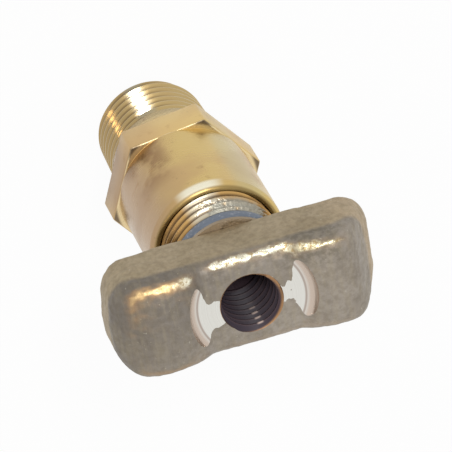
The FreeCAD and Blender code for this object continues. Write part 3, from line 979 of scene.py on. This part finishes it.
def make_stem():
    """Turned and threaded stem, from its nose to the boss that stands a little way into the handle."""
    nose_top = TIP + NOSE_RADIUS - TIP_RADIUS
    foot_radius = STEM_RADIUS - STEM_THREAD_DEPTH
    top_radius = STEM_RADIUS - THREAD_TOP_STEP
    nose = [(TIP_RADIUS, TIP), (NOSE_RADIUS, nose_top), (NOSE_RADIUS, THREAD_FOOT),
            (foot_radius, THREAD_FOOT)]
    lower = turn("nose", nose, closed_start=True)
    start = (THREAD_FOOT, foot_radius, THREAD_FOOT_FADE)
    end = (THREAD_TOP, top_radius, THREAD_TOP_STEP)
    crests = (STEM_RADIUS, STEM_RADIUS)
    winding = thread("stem_winding", THREAD_PITCH, crests, STEM_THREAD_DEPTH, start, end)
    neck = [(top_radius, THREAD_TOP), (NECK_RADIUS, THREAD_TOP), (NECK_RADIUS, BOSS_FOOT)]
    boss = [(BOSS_RADIUS - BOSS_CHAMFER, BOSS_FOOT), (BOSS_RADIUS, BOSS_FOOT + BOSS_CHAMFER),
            (BOSS_RADIUS, HANDLE_BACK + BOSS_OVERLAP)]
    upper = turn("neck", neck + boss, closed_end=True)
    stem = join([lower, winding, upper])
    stem.name = "stem"
    stem.data.materials.append(stem_brass())
    return stem


def make_port_cutter(dark):
    """What the spotface, the tapped port and the drain passage take out of the plug."""
    spotface = WAIST_FRONT - SPOTFACE_CUT
    port_floor = spotface - PORT_DEPTH
    passage = [(DRAIN_RADIUS, DRAIN_FLOOR), (DRAIN_RADIUS, port_floor - DRAIN_CONE),
               (PORT_RADIUS, port_floor)]
    drain = turn("drain", passage, closed_start=True)
    start = (port_floor, PORT_RADIUS, PORT_FLOOR_FADE)
    end = (spotface, PORT_MOUTH_RADIUS, PORT_MOUTH_FADE)
    thread_depth = PORT_THREAD_RADIUS - PORT_RADIUS
    crests = (PORT_THREAD_RADIUS, PORT_THREAD_RADIUS)
    tapped = thread("port_winding", PORT_PITCH, crests, thread_depth, start, end)
    corner_height = spotface + SPOTFACE_CORNER
    corner = arc(FLAT_EDGE, corner_height, SPOTFACE_CORNER, first=-90, last=0, steps=SPOTFACE_STEPS)
    face = [(PORT_MOUTH_RADIUS, spotface)] + corner + [(SPOTFACE_RADIUS, LOBE_FRONT + BEYOND)]
    facing = turn("facing", face, closed_end=True)
    drain.data.materials.append(dark)
    tapped.data.materials.append(dark)
    facing.data.materials.append(faced_brass())
    return join([drain, tapped, facing])


def make_plug():
    """Handle and stem in one casting, with the stem turned and threaded and the port faced and tapped."""
    plug = cast_handle()
    combine(plug, make_stem(), "UNION")
    dark = port_brass()
    combine(plug, make_port_cutter(dark), "DIFFERENCE")

    bpy.ops.object.select_all(action="DESELECT")
    bpy.ops.mesh.primitive_cylinder_add(vertices=CROSS_HOLE_COLUMNS, radius=CROSS_HOLE_RADIUS,
                                        depth=CROSS_HOLE_LENGTH, location=(0, 0, CROSS_HOLE_HEIGHT),
                                        rotation=(math.radians(90), 0, 0))
    apply_place()
    cross_hole = bpy.context.object
    cross_hole.data.materials.append(dark)
    combine(plug, cross_hole, "DIFFERENCE")
    plug.name = "tee_handle_plug"
    mark_wear_and_highlight(plug)
    finish_piece(plug, "plug", "tee_plug")


def make_ring():
    """Sealing ring with rounded corners, pinched a little by its groove."""
    middle = (RING_FOOT + RING_TOP) / 2
    half = (RING_TOP - RING_FOOT) / 2
    thick = RING_OUTSIDE - RING_INSIDE
    stations = []
    for step in range(RING_STEPS):
        angle = math.tau * step / RING_STEPS
        across = math.copysign(abs(math.cos(angle)) ** RING_SQUARENESS, math.cos(angle))
        along = math.copysign(abs(math.sin(angle)) ** RING_SQUARENESS, math.sin(angle))
        stations.append((RING_INSIDE + thick / 2 * (1 + across), middle + half * along))
    stations.append(stations[0])
    ring = turn("rubber_ring", stations)
    clean_up(ring)
    ring.data.materials.append(ring_rubber())
    finish_piece(ring, "ring", "seal_ring")


def backdrop(tree, shader, share):
    """Show white to the camera, to glossy and to transmission rays, mixed with the given shader."""
    path = tree.nodes.new("ShaderNodeLightPath")
    seen = path.outputs["Is Camera Ray"]
    for ray in ("Is Glossy Ray", "Is Transmission Ray"):
        either = tree.nodes.new("ShaderNodeMath")
        either.operation = "MAXIMUM"
        tree.links.new(seen, either.inputs[0])
        tree.links.new(path.outputs[ray], either.inputs[1])
        seen = either.outputs[0]
    amount = tree.nodes.new("ShaderNodeMath")
    amount.operation = "MULTIPLY"
    tree.links.new(seen, amount.inputs[0])
    amount.inputs[1].default_value = share
    white = tree.nodes.new("ShaderNodeEmission")
    white.inputs["Strength"].default_value = 1
    mix = tree.nodes.new("ShaderNodeMixShader")
    tree.links.new(amount.outputs[0], mix.inputs[0])
    tree.links.new(shader, mix.inputs[1])
    tree.links.new(white.outputs[0], mix.inputs[2])
    return mix.outputs[0]


def lay_floor():
    """Plain white floor that keeps the object's soft shadow."""
    bpy.ops.object.select_all(action="DESELECT")
    bpy.ops.mesh.primitive_plane_add(size=FLOOR_SIZE, location=(0, 0, -FLOOR_DROP * MM))
    floor = bpy.context.object
    floor.name = "floor"
    material = bpy.data.materials.new("floor_white")
    material.use_nodes = True
    tree = material.node_tree
    shader = tree.nodes["Principled BSDF"]
    shader.inputs["Base Color"].default_value = (FLOOR_WHITE, FLOOR_WHITE, FLOOR_WHITE, 1)
    shader.inputs["Roughness"].default_value = FLOOR_ROUGHNESS
    surface = tree.nodes["Material Output"].inputs["Surface"]
    tree.links.new(backdrop(tree, shader.outputs[0], FLOOR_BACKDROP), surface)
    floor.data.materials.append(material)


def add_lamp(name, azimuth, elevation, distance, size, watts, tint=(1, 1, 1)):
    """Hang a square soft lamp in the given direction, facing the object's middle."""
    light = bpy.data.lights.new(name, "AREA")
    light.size = size
    light.energy = watts
    light.color = tint
    lamp = bpy.data.objects.new(name, light)
    across, up = math.radians(azimuth), math.radians(elevation)
    towards = Vector((math.cos(across) * math.cos(up), math.sin(across) * math.cos(up), math.sin(up)))
    lamp.location = towards * distance + Vector((0, 0, HANDLE_BACK / 2)) * MM
    lamp.rotation_mode = "QUATERNION"
    lamp.rotation_quaternion = towards.to_track_quat("Z", "Y")
    bpy.context.scene.collection.objects.link(lamp)


def light_studio():
    """Soft studio light: a key lamp near the camera, a warm one from the left, and a pale room."""
    add_lamp("key_lamp", azimuth=92, elevation=59, distance=0.45, size=0.07, watts=0.6)
    add_lamp("left_lamp", azimuth=158, elevation=54, distance=0.5, size=0.05, watts=0.05, tint=WARM)
    world = bpy.data.worlds.new("studio")
    bpy.context.scene.world = world
    world.use_nodes = True
    tree = world.node_tree
    room = tree.nodes["Background"]
    room.inputs["Color"].default_value = (ROOM_GREY, ROOM_GREY, ROOM_GREY, 1)
    surface = tree.nodes["World Output"].inputs["Surface"]
    tree.links.new(backdrop(tree, room.outputs[0], share=1.0), surface)
    bpy.context.scene.view_settings.view_transform = "Standard"


def place_camera():
    """Camera at the photograph's angle: high over the handle, rolled, with a long lens."""
    data = bpy.data.cameras.new("camera")
    data.sensor_width = CAMERA_SENSOR
    data.lens = CAMERA_FOCAL_PIXELS / PHOTO_PIXELS * CAMERA_SENSOR
    data.clip_start = CAMERA_NEAR
    data.clip_end = CAMERA_FAR
    camera = bpy.data.objects.new("camera", data)
    right = Vector(CAMERA_RIGHT)
    up = Vector(CAMERA_UP)
    turning = Matrix((right, up, right.cross(up))).transposed().to_4x4()
    camera.matrix_world = Matrix.Translation(Vector(CAMERA_PLACE) * MM) @ turning
    bpy.context.scene.collection.objects.link(camera)
    bpy.context.scene.camera = camera


lay_floor()
light_studio()
place_camera()
make_hex_body()
make_plug()
make_ring()
